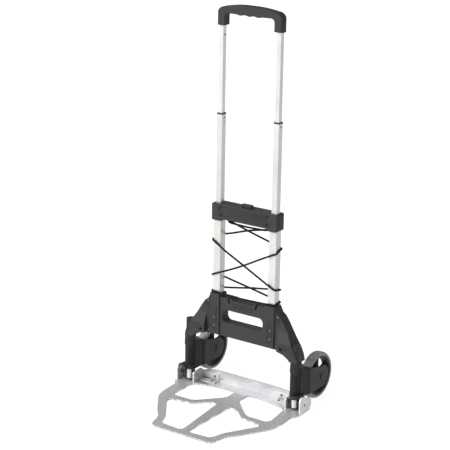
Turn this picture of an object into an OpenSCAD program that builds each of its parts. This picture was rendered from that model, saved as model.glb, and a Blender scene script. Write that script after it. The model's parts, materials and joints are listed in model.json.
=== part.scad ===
// Folding telescopic hand truck: lower frame, folding toe plate, swinging wheel carriers, two-stage handle.
// Origin: on the floor, midway between the posts, under the plane of the outer tubes.
// X runs across the truck, the toe plate points to -Y, Z is up.
// The frame leans back about the toe plate's hinge, so its pieces are drawn upright and then leaned.

/* [Frame] */
// How far the frame leans back, in degrees
lean = 3.5; // [2:0.5:5]
// Distance between the two tube centre lines
tube_spacing = 185; // [155:1:225]
// Height of the underside of the upper crossbar
crossbar_z = 504; // [440:1:600]
// Height of the crossbar casing
crossbar_h = 49; // [44:1:60]
// Width of the crossbar casing beyond the tube centres, each side
crossbar_overhang = 19; // [17:1:26]
// Depth of the crossbar casing, front to back
crossbar_d = 37; // [34:1:46]
// Corner rounding of the crossbar casing
crossbar_round = 9; // [4:1:10]
// Rise of the casing's underside between the tubes
crossbar_arch = 6; // [2:0.5:8]
// Wall of the crossbar casing
crossbar_wall = 2.5; // [2:0.5:4]

/* [Tubes] */
// Outside width of the outer tubes
outer_w = 24; // [23:0.5:26]
// Wall of the outer tubes
outer_wall = 1.5; // [1.2:0.1:2]
// Outside width of the middle tubes
mid_w = 18; // [17:0.5:19]
// Wall of the middle tubes
mid_wall = 1.2; // [1:0.1:1.4]
// Outside width of the inner tubes
inner_w = 14.4; // [13:0.2:14.6]
// Wall of the inner tubes
inner_wall = 1.2; // [1:0.1:1.5]
// Height at which the outer tubes start inside the housing
outer_z = 172; // [170:1:180]
// Corner rounding of all the square tubes
tube_round = 1.5; // [1:0.1:1.6]
// Gap between faces that slide past each other
slide_gap = 0.2; // [0.15:0.05:0.3]

/* [Handle] */
// How far each handle stage slides down
stage_travel = 240; // [200:1:250]
// Length of tube that stays inside the stage below when drawn out
stage_overlap = 60; // [50:1:70]
// Height of the caps on the middle tubes
cap_h = 4; // [3:0.5:6]
// Wall of the caps outside the middle tubes
cap_wall = 0.8; // [0.6:0.1:1.2]
// Width of the grip's legs, across the truck
grip_leg_w = 25; // [21:0.5:28]
// Depth of the grip, front to back
grip_d = 25; // [22:0.5:30]
// Length of the grip's legs below the bar
grip_leg_h = 34; // [28:1:45]
// Thickness of the grip's bar, top to bottom
grip_bar_h = 26; // [22:1:32]
// Rise of the bar's top from its ends to its middle
grip_crown = 8; // [2:1:10]
// Depth of the finger lobes under the bar
groove_depth = 2.4; // [1:0.2:4]
// Distance between finger lobes
groove_pitch = 29; // [24:1:32]

/* [Housing] */
// Height of the housing's top at the tube sleeves
housing_top = 289; // [280:1:310]
// Height of the bottoms of the housing's legs
housing_foot = 145; // [140:1:150]
// Depth of the housing's main body
housing_d = 32; // [30:1:36]
// How far the tube sleeves stand out in front
sleeve_proud = 3.5; // [2:0.5:5]
// Width of the tube sleeves
sleeve_w = 31; // [30:0.5:34]
// Wall of the housing's shells
housing_wall = 3; // [2.5:0.5:4]
// Length of the hand hole
hand_w = 138; // [110:1:140]
// Height of the hand hole
hand_h = 38; // [30:1:40]
// Height of the hand hole's middle
hand_z = 227; // [222:1:232]

/* [Lower posts and hinge] */
// Distance from the middle to each lower post
post_x = 180; // [178:1:184]
// Radius of the lower posts
post_r = 10; // [9:0.1:10]
// Wall of the lower posts
post_wall = 2; // [1.2:0.1:2.5]
// Place of the posts and of the hinge in front of the tube plane
hinge_y = -12; // [-13:0.5:-11]
// Height of the hinge axis above the floor
hinge_z = 24; // [23:0.5:26]
// Radius of the hinge pins
pin_r = 4; // [3:0.1:4.5]
// Length of post below the hinge axis
foot_drop = 13; // [12:0.5:14]
// Radial clearance of pins, posts and axles in their bores
run_gap = 0.06; // [0.04:0.01:0.1]

/* [Toe plate] */
// Thickness of the toe plate
plate_t = 5; // [4:0.5:6]
// Half width of the plate across its sides
plate_half_w = 199; // [180:1:203]
// Reach of the plate in front of the tube plane
plate_reach = 306; // [250:1:340]
// Half width of the plate's front edge
plate_front_half = 100; // [80:1:115]
// Place of the upstand's rear face behind the tube plane
upstand_y = 26; // [24:0.5:28]
// Height of the upstand in its middle
upstand_h = 36; // [28:0.5:37]
// Thickness of the upstand and of the hinge ears
ear_t = 4; // [3:0.25:4.5]
// Distance from the post to the near face of the inner ear
ear_gap_in = 20; // [19:0.5:22]
// Distance from the post to the near face of the outer ear
ear_gap_out = 28; // [27.5:0.5:30]
// Height of the inner ears
ear_in_h = 36; // [34:0.5:37]

/* [Wheels and carriers] */
// Outside radius of the tyres
tyre_r = 67; // [60:0.5:69]
// Width of the tyres
tyre_w = 28; // [24:0.5:28]
// Radial thickness of the tyres
tyre_t = 9.5; // [7:0.5:12]
// Distance from the post to the axle
arm_len = 106.6; // [100:0.2:110]
// Radius of the axles
axle_r = 4; // [3.5:0.1:5]
// Radius of the carrier's barrel round the post
barrel_r = 15.5; // [14:0.5:16]
// Radius of the barrel's top collar
barrel_collar_r = 16; // [15:0.5:16.5]
// Height of the barrel's lower end
barrel_z = 41; // [40:0.5:44]
// Reach of the cam lobe from the post's axis
lobe_reach = 25.5; // [22:0.5:26]
// Radius of the disc at the fork's end
fork_disc_r = 32; // [28:0.5:34]
// Gap between the tyre and each cheek of the fork
fork_gap = 2.5; // [2:0.5:3]
// Thickness of each cheek
cheek_t = 5.5; // [4.5:0.5:6]

/* [Elastic cord] */
// Diameter of the elastic cord
cord_d = 5.4; // [4:0.2:5.6]

/* [Hidden] */
$fn = 64;
BLACK = [0.09, 0.09, 0.1];
DARK = [0.16, 0.16, 0.17];
ALLOY = [0.8, 0.81, 0.82];
STEEL = [0.62, 0.63, 0.65];
GREY = [0.45, 0.45, 0.44];

tube_x = tube_spacing / 2;
eps = 0.5;                                      // how far a cutting tool runs past a face
crossbar_top = crossbar_z + crossbar_h;
crossbar_half = tube_x + crossbar_overhang;
outer_top = crossbar_top - crossbar_wall - 0.5; // outer tubes end just under the crossbar's top wall
outer_in = outer_w - 2 * outer_wall;
mid_in = mid_w - 2 * mid_wall;
park_gap = 2;                                   // gap left between stages when they are pushed down
mid_bottom = crossbar_top - stage_overlap - crossbar_wall;
neck_left = 12;                                 // middle tube left showing when a stage is down
mid_top = crossbar_top + park_gap + stage_travel + neck_left;
inner_bottom = mid_top - stage_overlap;
grip_z = mid_top + park_gap + stage_travel;
grip_bar_z = grip_z + grip_leg_h;
inner_top = grip_z + grip_leg_h - 4;
cap_w = mid_w + 2 * cap_wall;
half_grip = grip_d / 2;
pocket_w = inner_w + 0.3;                       // socket for the inner tube in the grip

bush_h = 26;
bush_flange = 1.2;
block_h = 14;
block_stem = 9;
plug_h = 10;

button_w = 34;
button_d = 12;
button_rise = 8;
button_skirt = 10;                              // depth of the button's body under the casing's top
spring_r = 5;
spring_wire = 1.2;
spring_turns = 5;
spring_h = 12;
bolt_r = 3.5;
bolt_z = crossbar_z + 30;                       // height of the lock bolts
bolt_len = 46;
bolt_tip_x = tube_x - outer_w / 2 + outer_wall / 2;

snap_r = 2.6;
snap_z = mid_top - 13;
vent_r = 2;
snap_travel = 0.8;

post_top = housing_foot + 45;
foot_z = hinge_z - foot_drop;
ear_in_x = post_x - ear_gap_in;
ear_out_x = post_x + ear_gap_out;
sleeve_base = outer_z - 4;
leg_front = hinge_y - 14.5;                     // front of the housing's thicker legs

wheel_z = hinge_z + (tyre_r - hinge_z + arm_len * sin(lean)) / cos(lean);
wheel_y = hinge_y + arm_len;
rim_r = tyre_r - tyre_t;
rim_half = tyre_w / 2 - 1;
fork_half = tyre_w / 2 + fork_gap;              // from the wheel's middle to a cheek
cheek_x = fork_half + cheek_t;                  // from the wheel's middle to a cheek's outer face
neck_x = 18;                                    // half width of the arm beside the toe plate's side rail
barrel_top = housing_foot - 0.6;
hub_half = fork_half - 0.4;
hub_r = 13;
axle_bore = axle_r + run_gap;

// Outline of the housing's right half, front view: distance from the middle, height
half_outline = [
    [0, housing_top - 12], [34, housing_top - 12], [38, housing_top - 8],
    [tube_x - sleeve_w / 2 - 2, housing_top - 8], [tube_x - sleeve_w / 2, housing_top],
    [tube_x + sleeve_w / 2 - 2, housing_top], [tube_x + sleeve_w / 2 + 2, housing_top - 6],
    [tube_x + 24, housing_top - 19], [tube_x + 34, housing_top - 26], [tube_x + 46, housing_top - 43],
    [tube_x + 58, housing_top - 63], [tube_x + 68, housing_top - 80], [post_x - 7, housing_foot + 45],
    [post_x + 1, housing_foot + 32], [post_x + 7, housing_foot + 17], [post_x + 11, housing_foot],
    [post_x - 14, housing_foot], [post_x - 22, housing_foot + 8], [post_x - 36, housing_foot + 16],
    [post_x - 52, housing_foot + 20], [tube_x + 14, housing_foot + 21], [0, housing_foot + 21]
];

// Screws that join the housing's shells: distance from the middle, height
housing_screws = [
    [tube_x + 2, hand_z - 9], [tube_x + 2, hand_z - 34], [tube_x + 23, housing_foot + 30],
    [tube_x + 25, housing_top - 27], [tube_x + 43, housing_foot + 30]
];
crossbar_screws = [[tube_x - 16, crossbar_z + 18], [tube_x - 16, crossbar_z + 40]];
screw_r = 2;
screw_head_r = 3.6;
screw_boss_r = 5;

// Toe plate outline, right half, plan view
plate_outline = [
    [0, -plate_reach], [plate_front_half - 12, -plate_reach], [plate_front_half - 4, -plate_reach + 3],
    [plate_front_half + 2, -plate_reach + 9], [plate_front_half + 6, -plate_reach + 20],
    [plate_front_half + 9, -plate_reach + 38], [plate_front_half + 18, -plate_reach + 58],
    [plate_half_w - 56, -plate_reach + 86], [plate_half_w - 18, -plate_reach + 140],
    [plate_half_w - 7, -plate_reach + 158], [plate_half_w - 2, -plate_reach + 176],
    [plate_half_w, -plate_reach + 200], [plate_half_w, -62], [ear_out_x + ear_t, -44],
    [ear_out_x + ear_t, 14], [ear_out_x - 4, 22], [ear_in_x + 2, upstand_y], [0, upstand_y]
];
rear_cut = [[22, -14], [30, -11], [76, -11], [112, -17], [151, -31], [158, -40], [164, -108], [156, -122],
            [98, -122], [84, -116], [53, -87], [26, -60], [20, -48]];
front_cut = [[20, -106], [38, -104], [56, -112], [86, -138], [146, -146], [154, -152], [154, -160],
             [122, -206], [98, -240], [86, -274], [76, -282], [22, -286], [12, -282], [10, -268]];

// The cord's route: it starts and ends in the crossbar's underside and winds round both outer tubes
cord_route = [
    [-72, 13, 516], [-72, 13, 503.5], [-70, 13.4, 500], [-62, 14.4, 496.8], [-8, 15, 481], [60, 15, 464],
    [98, 15, 454], [104, 14.8, 452], [107, 12, 451], [107.4, 0, 448], [107, -12, 443], [104, -14.8, 441],
    [98, -15, 439], [60, -16, 420], [20, -19.8, 399], [0, -21, 389], [-20, -19.8, 379], [-60, -16, 361],
    [-98, -15, 345], [-104, -14.8, 342], [-107, -12, 341], [-107.4, 0, 339], [-107, 12, 337],
    [-104, 14.8, 336], [-98, 15, 334], [-60, 15, 327], [8, 15, 315], [60, 15, 305], [98, 15, 298],
    [104, 14.8, 297], [107, 12, 296.5], [107.4, 0, 295], [107, -12, 293.5], [104, -14.8, 293],
    [98, -15, 293.2], [60, -15.5, 291.6], [0, -16, 290], [-60, -15.5, 291.6], [-98, -15, 293.2],
    [-104, -14.8, 293], [-107, -12, 293.5], [-107.4, 0, 294], [-107, 12, 295], [-104, 14.8, 296],
    [-98, 15, 297], [-60, 16.5, 303], [-12, 20, 311], [8, 20.8, 315], [28, 20, 318], [60, 16.5, 324],
    [98, 15, 331], [104, 14.8, 332], [107, 12, 333], [107.4, 0, 335], [107, -12, 337],
    [104, -14.8, 338], [98, -15, 340], [60, -15, 359], [0, -15, 389], [-60, -15, 418], [-98, -15, 440],
    [-104, -14.8, 443], [-107, -12, 445], [-107.4, 0, 448], [-107, 12, 451], [-104, 14.8, 452],
    [-98, 15, 454], [-60, 17, 464], [-28, 20, 474], [-8, 20.8, 480], [12, 20, 485], [50, 16, 494],
    [64, 14.2, 497.4], [70, 13.4, 500], [72, 13, 503.5], [72, 13, 516]
];
// The short run just under the crossbar, between its own two holes
cord_top_run = [
    [-67, 4, 516], [-67, 4, 503.5], [-64, 4, 499], [-56, 4, 496.6], [0, 4, 495], [56, 4, 496.6],
    [64, 4, 499], [67, 4, 503.5], [67, 4, 516]
];
cord_sides = 8;
cord_holes = [[72, 13], [67, 4]];               // where the cord goes into the crossbar, each side

// ---- helpers ----

// Leans what is drawn upright back about the hinge axis
module leaned() {
    translate([0, hinge_y, hinge_z])
        rotate([-lean, 0, 0])
            translate([0, -hinge_y, -hinge_z])
                children();
}

// Rectangle with round corners, centred
module rounded_rect(w, h, r) {
    square([w - 2 * r, h], center = true);
    square([w, h - 2 * r], center = true);
    for (sx = [-1, 1], sy = [-1, 1])
        translate([sx * (w / 2 - r), sy * (h / 2 - r)])
            circle(r);
}

// Square tube or bar standing at x, from z0 to z1
module square_bar(x, w, r, z0, z1) {
    translate([x, 0, z0])
        linear_extrude(z1 - z0)
            rounded_rect(w, w, r);
}

module square_tube(x, w, wall, z0, z1) {
    difference() {
        square_bar(x, w, tube_round, z0, z1);
        square_bar(x, w - 2 * wall, max(tube_round - wall, 0.3), z0 - eps, z1 + eps);
    }
}

// Extrudes a front view outline (X, Z) from y0 to y1
module front_slab(y0, y1) {
    translate([0, y1, 0])
        rotate([90, 0, 0])
            linear_extrude(y1 - y0)
                children();
}

// Extrudes a side view outline (Y, Z) from x0 to x1
module side_slab(x0, x1) {
    translate([x0, 0, 0])
        rotate([90, 0, 90])
            linear_extrude(x1 - x0)
                children();
}

// Cylinder along X from x0 to x1
module rod_x(x0, x1, r) {
    translate([x0, 0, 0])
        rotate([0, 90, 0])
            cylinder(h = x1 - x0, r = r);
}

// Cylinder along Y from y0 to y1
module rod_y(y0, y1, r) {
    translate([0, y1, 0])
        rotate([90, 0, 0])
            cylinder(h = y1 - y0, r = r);
}

// A right half outline closed with its mirror image
function mirrored(points) = concat(points, [for (i = [len(points) - 1:-1:0]) [-points[i][0], points[i][1]]]);

function unit(v) = v / norm(v);

// Direction of a route at point i
function heading(route, i) =
    unit(route[min(i + 1, len(route) - 1)] - route[max(i - 1, 0)]);

// Sweeps a round cord of radius r along a route
module swept_cord(route, r, sides) {
    rings = [
        for (i = [0:len(route) - 1])
            let (
                t = heading(route, i),
                u = unit(cross(t, abs(t[2]) > 0.8 ? [1, 0, 0] : [0, 0, 1])),
                v = cross(u, t)
            )
            for (k = [0:sides - 1])
                route[i] + r * (cos(360 * k / sides) * u + sin(360 * k / sides) * v)
    ];
    last = (len(route) - 1) * sides;
    sides_faces = [
        for (i = [0:len(route) - 2], k = [0:sides - 1])
            let (a = i * sides + k, b = i * sides + (k + 1) % sides)
            [a, b, b + sides, a + sides]
    ];
    polyhedron(
        points = rings,
        faces = concat(
            sides_faces,
            [[for (k = [sides - 1:-1:0]) k]],
            [[for (k = [0:sides - 1]) last + k]]
        ),
        convexity = 10
    );
}

// ---- outer tubes and what sits in them ----

module outer_tube(side) {
    color(ALLOY) leaned()
        difference() {
            square_tube(side * tube_x, outer_w, outer_wall, outer_z, outer_top);
            translate([side * (tube_x - outer_w / 2), 0, bolt_z])
                rod_x(-outer_wall - 1, outer_wall + 1, bolt_r + 0.4);
            for (p = [housing_screws[0], housing_screws[1]])
                translate([side * p[0], 0, p[1]])
                    rod_y(-outer_w, outer_w, screw_r + 0.1);
        }
}

module guide_bush(side) {
    color(DARK) leaned()
        difference() {
            union() {
                square_bar(side * tube_x, outer_in, 0.5, outer_top - bush_h, outer_top);
                square_bar(side * tube_x, outer_w, tube_round, outer_top, outer_top + bush_flange - 0.8);
            }
            square_bar(side * tube_x, mid_w + 2 * slide_gap, 1, outer_top - bush_h - eps, outer_top + 3);
            translate([side * (tube_x - outer_w / 2), 0, bolt_z])
                rod_x(-4, 6, bolt_r + 0.4);
        }
}

// ---- crossbar casing ----

module crossbar_form(inset) {
    arch_half = tube_x - outer_w / 2 - crossbar_wall;
    intersection() {
        front_slab(-crossbar_d / 2 + inset, crossbar_d / 2 - inset)
            difference() {
                translate([0, crossbar_z + crossbar_h / 2])
                    rounded_rect(2 * crossbar_half - 2 * inset, crossbar_h - 2 * inset, crossbar_round - inset);
                translate([0, crossbar_z + crossbar_arch + inset - 20])
                    square([2 * (arch_half + inset), 40], center = true);
            }
        translate([0, 0, crossbar_z - eps])
            linear_extrude(crossbar_h + 2 * eps)
                rounded_rect(2 * crossbar_half - 2 * inset, crossbar_d - 2 * inset, crossbar_round - inset);
    }
}

// Everything the crossbar's shells are cut for
module crossbar_cuts() {
    for (side = [-1, 1]) {
        square_bar(side * tube_x, outer_w + 0.3, tube_round, crossbar_z - eps, outer_top + 1);
        square_bar(side * tube_x, mid_w + 0.8, 1, outer_top, crossbar_top + eps);
        for (p = cord_holes)
            translate([side * p[0], p[1], crossbar_z + crossbar_arch - eps])
                cylinder(h = crossbar_wall + 2 * eps, r = cord_d / 2 + 0.5);
    }
    translate([0, 0, crossbar_top - crossbar_wall - eps])
        linear_extrude(crossbar_wall + 2 * eps)
            rounded_rect(button_w + 0.8, button_d + 0.8, 4.4);
}

// Ribs inside the shells that carry the lock bolts and the spring
module crossbar_ribs() {
    for (side = [-1, 1], x = [36, 62])
        translate([side * x, 0, crossbar_z + 21])
            cube([3, crossbar_d - 4, 38], center = true);
    seat_h = crossbar_h - button_skirt + 3 - spring_h - 0.2;
    translate([0, 0, crossbar_z + seat_h / 2])
        cube([20, crossbar_d - 4, seat_h], center = true);
}

module crossbar_shell(front) {
    difference() {
        union() {
            difference() {
                crossbar_form(0);
                crossbar_form(crossbar_wall);
            }
            intersection() {
                crossbar_form(crossbar_wall / 2);
                union() {
                    crossbar_ribs();
                    for (side = [-1, 1], p = crossbar_screws)
                        translate([side * p[0], 0, p[1]])
                            rod_y(-crossbar_d, crossbar_d, screw_boss_r);
                }
            }
        }
        translate([0, front ? crossbar_d / 2 : -crossbar_d / 2, crossbar_z + crossbar_h / 2])
            cube([3 * crossbar_half, crossbar_d, 2 * crossbar_h], center = true);
        crossbar_cuts();
        for (side = [-1, 1])
            translate([side * (bolt_tip_x - bolt_len / 2 - 10), 0, bolt_z])
                rod_x(-36, 36, bolt_r + 0.4);
        for (side = [-1, 1], p = crossbar_screws)
            translate([side * p[0], 0, p[1]])
                rod_y(-crossbar_d, front ? -crossbar_d / 2 + 2.4 : -crossbar_d, screw_head_r);
        for (side = [-1, 1], p = crossbar_screws)
            translate([side * p[0], 0, p[1]])
                rod_y(-crossbar_d, crossbar_d / 2 - 3, screw_r);
    }
}

module crossbar_front_shell() {
    color(BLACK) leaned() crossbar_shell(true);
}

module crossbar_rear_shell() {
    color(BLACK) leaned() crossbar_shell(false);
}

// A countersunk screw whose head faces -Y at y0 and whose tip is at y1
module screw(y0, y1) {
    rod_y(y0, y0 + 2, screw_head_r - 0.2);
    rod_y(y0 + 1, y1, screw_r);
}

module crossbar_screw_set() {
    color(STEEL) leaned()
        for (side = [-1, 1], p = crossbar_screws)
            translate([side * p[0], 0, p[1]])
                screw(-crossbar_d / 2 + 0.4, crossbar_d / 2 - 3);
}

// ---- release button, its spring and the lock bolts ----

module release_button() {
    color(DARK) leaned()
        difference() {
            union() {
                translate([0, 0, crossbar_top - 2])
                    linear_extrude(button_rise + 2)
                        rounded_rect(button_w, button_d, 4);
                translate([0, 0, crossbar_top - button_skirt])
                    linear_extrude(button_skirt - 1)
                        rounded_rect(button_w + 6, button_d + 6, 2);
            }
            translate([0, 0, crossbar_top - crossbar_wall - 0.2])
                linear_extrude(crossbar_wall + 0.4)
                    difference() {
                        square([button_w + 10, button_d + 10], center = true);
                        rounded_rect(button_w, button_d, 4);
                    }
            translate([0, 0, crossbar_top - button_skirt - eps])
                cylinder(h = 4, r = spring_r + spring_wire + 0.6);
        }
}

module button_spring() {
    steps = 14 * spring_turns;
    base = crossbar_top - button_skirt + 3 - spring_h;
    route = [
        for (i = [0:steps])
            let (a = 360 * spring_turns * i / steps)
            [spring_r * cos(a), spring_r * sin(a), base + spring_wire / 2 + (spring_h - spring_wire) * i / steps]
    ];
    color(STEEL) leaned() swept_cord(route, spring_wire / 2, 6);
}

module lock_bolt(side) {
    tip = bolt_tip_x;
    color(STEEL) leaned()
        translate([0, 0, bolt_z])
            if (side > 0)
                rod_x(tip - bolt_len - 20, tip, bolt_r);
            else
                rod_x(-tip, -tip + bolt_len + 20, bolt_r);
}

// ---- housing ----

module hand_hole_2d() {
    translate([0, hand_z])
        rounded_rect(hand_w, hand_h, 14);
}

module housing_2d() {
    difference() {
        polygon(mirrored(half_outline));
        hand_hole_2d();
        for (side = [-1, 1])
            translate([side * 46, housing_top - 13])
                rotate([0, 0, side * -12])
                    rounded_rect(5, 19, 2.4);
    }
}

// Room inside the shells, kept clear of the sleeves and of the post sockets
module housing_cavity_2d() {
    difference() {
        offset(delta = -housing_wall) housing_2d();
        for (side = [-1, 1]) {
            translate([side * tube_x, (sleeve_base + housing_top) / 2])
                square([sleeve_w, housing_top - sleeve_base + 2], center = true);
            translate([side * post_x, housing_foot + 26])
                square([2 * barrel_collar_r, 62], center = true);
        }
    }
}

module housing_solid() {
    front_slab(-housing_d / 2, housing_d / 2) housing_2d();
    for (side = [-1, 1]) {
        translate([side * tube_x, 0, sleeve_base])
            linear_extrude(housing_top - sleeve_base)
                translate([0, -housing_d / 2 - sleeve_proud / 2 + 2])
                    square([sleeve_w, sleeve_proud + 4], center = true);
        translate([side * post_x, hinge_y, housing_foot])
            cylinder(h = post_top - housing_foot + 4, r = post_r + 2.5);
    }
    intersection() {
        side_slab(-post_x - 20, post_x + 20)
            polygon([[-housing_d / 2 + 1, housing_foot + 82], [leg_front, housing_foot + 48],
                     [leg_front, housing_foot], [-housing_d / 2 + 1, housing_foot]]);
        front_slab(leg_front - 1, 0)
            difference() {
                housing_2d();
                square([2 * (tube_x + 30), 4 * housing_top], center = true);
            }
    }
}

module housing_cuts() {
    for (side = [-1, 1]) {
        square_bar(side * tube_x, outer_w + 0.3, tube_round, outer_z - 0.3, housing_top + eps);
        translate([side * post_x, hinge_y, housing_foot - eps])
            cylinder(h = post_top - housing_foot + eps, r = post_r + 0.1);
        for (p = housing_screws)
            translate([side * p[0], 0, p[1]])
                rod_y(-housing_d, housing_d / 2 - 3, screw_r);
    }
}

module screw_bosses() {
    for (side = [-1, 1], p = housing_screws)
        translate([side * p[0], 0, p[1]])
            rod_y(-housing_d / 2 + 0.5, housing_d / 2 - 0.5, screw_boss_r);
}

module housing_body() {
    difference() {
        union() {
            difference() {
                housing_solid();
                front_slab(-housing_d / 2 + housing_wall, housing_d / 2 - housing_wall)
                    housing_cavity_2d();
            }
            intersection() {
                screw_bosses();
                front_slab(-housing_d, housing_d) housing_2d();
            }
        }
        housing_cuts();
    }
}

module housing_shell(front) {
    split = 1;
    reach = 4 * housing_d;
    difference() {
        housing_body();
        translate([0, front ? split + reach / 2 : split - reach / 2, housing_top / 2])
            cube([3 * post_x, reach, 2 * housing_top], center = true);
        if (front)
            for (side = [-1, 1], p = housing_screws)
                translate([side * p[0], 0, p[1]])
                    rod_y(-2 * housing_d, screw_seat(p) + 2.4, screw_head_r);
    }
}

// Front face that a housing screw sinks into: the sleeves stand proud of the body
function screw_seat(p) =
    abs(p[0] - tube_x) < sleeve_w / 2 ? -housing_d / 2 - sleeve_proud : -housing_d / 2;

module housing_front_shell() {
    color(BLACK) leaned() housing_shell(true);
}

module housing_rear_shell() {
    color(BLACK) leaned() housing_shell(false);
}

module housing_screw_set() {
    color(STEEL) leaned()
        for (side = [-1, 1], p = housing_screws)
            translate([side * p[0], 0, p[1]])
                screw(screw_seat(p) + 0.4, housing_d / 2 - 3);
}

// ---- lower posts, feet and hinge ----

module lower_post(side) {
    color(ALLOY) leaned()
        difference() {
            translate([side * post_x, hinge_y, foot_z])
                cylinder(h = post_top - foot_z, r = post_r);
            translate([side * post_x, hinge_y, foot_z - eps])
                cylinder(h = post_top - foot_z + 2 * eps, r = post_r - post_wall);
            translate([side * post_x, hinge_y, hinge_z])
                rod_x(-post_r - 1, post_r + 1, pin_r + 0.05);
        }
}

// Plastic plug that closes the open end of a post
module foot_cap(side) {
    color(BLACK) leaned()
        translate([side * post_x, hinge_y, foot_z])
            union() {
                translate([0, 0, -1.6]) cylinder(h = 1.6, r = post_r);
                cylinder(h = foot_drop - pin_r - 2, r = post_r - post_wall);
            }
}

// U-shaped plastic liner round a post's foot, open at the top
module foot_liner(side) {
    t = 2;
    half = post_r + 0.3 + t;
    z0 = foot_z - 1.6 - 0.3 - t;
    z1 = barrel_z - 4;
    color(BLACK) leaned()
        translate([side * post_x, hinge_y, 0])
            difference() {
                front_slab(-7, 7)
                    difference() {
                        polygon([[-half, z1], [-half, z0 + 3], [-half + 3, z0], [half - 3, z0],
                                 [half, z0 + 3], [half, z1]]);
                        translate([-post_r - 0.3, z0 + t]) square([2 * post_r + 0.6, z1]);
                    }
                translate([0, 0, hinge_z]) rod_x(-30, 30, pin_r + 0.1);
            }
}

module hinge_pin(side) {
    x0 = ear_in_x - ear_t - 1.5;
    x1 = ear_out_x + ear_t - 2;
    color(STEEL)
        translate([0, hinge_y, hinge_z])
            if (side > 0)
                rod_x(x0, x1, pin_r);
            else
                rod_x(-x1, -x0, pin_r);
}

// Washers that keep each post midway between its ears
module hinge_spacers() {
    gap = 0.4;
    clear = post_r + 3;                         // past the foot liners
    color(BLACK)
        for (side = [-1, 1], span = [[ear_in_x + gap, post_x - clear], [post_x + clear, ear_out_x - gap]])
            translate([0, hinge_y, hinge_z])
                difference() {
                    if (side > 0)
                        rod_x(span[0], span[1], pin_r + 2);
                    else
                        rod_x(-span[1], -span[0], pin_r + 2);
                    translate([side * post_x, 0, 0])
                        rod_x(-40, 40, pin_r);
                }
}

// Rings on the posts that hold the carriers up
module post_rings() {
    color(STEEL) leaned()
        for (side = [-1, 1])
            translate([side * post_x, hinge_y, barrel_z - 1.8])
                difference() {
                    cylinder(h = 1.5, r = post_r + 2.2);
                    translate([0, 0, -eps]) cylinder(h = 3, r = post_r);
                }
}

module elastic_cord() {
    color(BLACK) leaned() {
        swept_cord(cord_route, cord_d / 2, cord_sides);
        swept_cord(cord_top_run, cord_d / 2, cord_sides);
    }
}

// ---- toe plate ----

module toe_plate_2d() {
    difference() {
        polygon(mirrored(plate_outline));
        for (side = [0, 1])
            mirror([side, 0]) {
                polygon(rear_cut);
                polygon(front_cut);
            }
    }
}

// Front view of the upstand: highest in the middle, falling towards its ends
module upstand_2d() {
    half = ear_in_x - ear_t;
    polygon([
        [-half, 1], [half, 1], [half, upstand_h - 11], [half - 14, upstand_h - 5], [half - 40, upstand_h - 1],
        [60, upstand_h], [-60, upstand_h], [-half + 40, upstand_h - 1], [-half + 14, upstand_h - 5],
        [-half, upstand_h - 11]
    ]);
}

module toe_plate() {
    color(ALLOY)
        difference() {
            union() {
                linear_extrude(plate_t) toe_plate_2d();
                front_slab(upstand_y - ear_t, upstand_y) upstand_2d();
            }
            rivet_holes();
        }
}

rivet_spots = [ear_in_x - 45];
rivet_r = 2.4;

module rivet_holes() {
    for (side = [-1, 1], x = rivet_spots) {
        translate([side * x, 5, -eps]) cylinder(h = plate_t + 2 * eps, r = rivet_r);
        translate([side * x, 0, 16]) rod_y(upstand_y - ear_t - eps, upstand_y + eps, rivet_r);
    }
}

// Side view of an ear: tall at the front when it is an outer one
module ear_2d(outer) {
    base = plate_t;
    difference() {
        union() {
            if (outer)
                polygon([[-36, base], [-35, 40], [-31, 49], [-26, 52], [-7, 48], [-5, 43], [9, 37], [10, 40],
                         [20, 37], [22, 34], [22, 14], [14, base]]);
            else
                polygon([[-27.5, base], [-27.5, ear_in_h - 4], [-24, ear_in_h], [12, ear_in_h], [16, ear_in_h - 4],
                         [upstand_y - ear_t, ear_in_h - 8], [upstand_y - ear_t, base]]);
        }
        translate([hinge_y, hinge_z]) circle(pin_r + run_gap);
    }
}

// A hinge bracket: two ears on a flange that the rivets hold
module hinge_bracket(side) {
    color(ALLOY)
        mirror([side > 0 ? 0 : 1, 0, 0]) {
            side_slab(ear_out_x, ear_out_x + ear_t) ear_2d(true);
            side_slab(ear_in_x - ear_t, ear_in_x) ear_2d(false);
            difference() {
                translate([ear_in_x - ear_t - 56, -4, plate_t])
                    cube([56 + 2 * ear_t + ear_out_x - ear_in_x, upstand_y - ear_t - 4, 2]);
                for (x = rivet_spots)
                    translate([x, 5, plate_t - eps]) cylinder(h = 4, r = rivet_r);
            }
            difference() {
                translate([ear_in_x - ear_t - 56, upstand_y - ear_t - 2, plate_t + 2])
                    cube([56, 2, 18]);
                for (x = rivet_spots)
                    translate([x, 0, 16]) rod_y(upstand_y - ear_t - 3, upstand_y, rivet_r);
            }
        }
}

module plate_rivets() {
    color(STEEL)
        for (side = [-1, 1], x = rivet_spots) {
            translate([side * x, 5, 0.5]) cylinder(h = plate_t + 1.6, r = rivet_r - 0.05);
            translate([side * x, 5, plate_t + 2]) cylinder(h = 1, r = rivet_r + 1.6);
            translate([side * x, 0, 16]) {
                rod_y(upstand_y - ear_t - 2.5, upstand_y, rivet_r - 0.05);
                rod_y(upstand_y - ear_t - 3, upstand_y - ear_t - 2, rivet_r + 1.6);
            }
        }
}

// ---- wheel carriers ----

// Plan view of the carrier's arm, with the post at the origin and the wheel towards +Y
module arm_plan_2d() {
    polygon([
        [-barrel_r + 0.5, -3], [barrel_r - 0.5, -3], [barrel_r + 3, 2], [neck_x - 1, 12], [neck_x, 16],
        [neck_x, 34], [cheek_x, 44], [cheek_x, arm_len + 40], [-cheek_x, arm_len + 40], [-cheek_x, 44],
        [-neck_x, 34], [-neck_x, 16], [-neck_x + 1, 12], [-barrel_r - 3, 2]
    ]);
}

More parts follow.
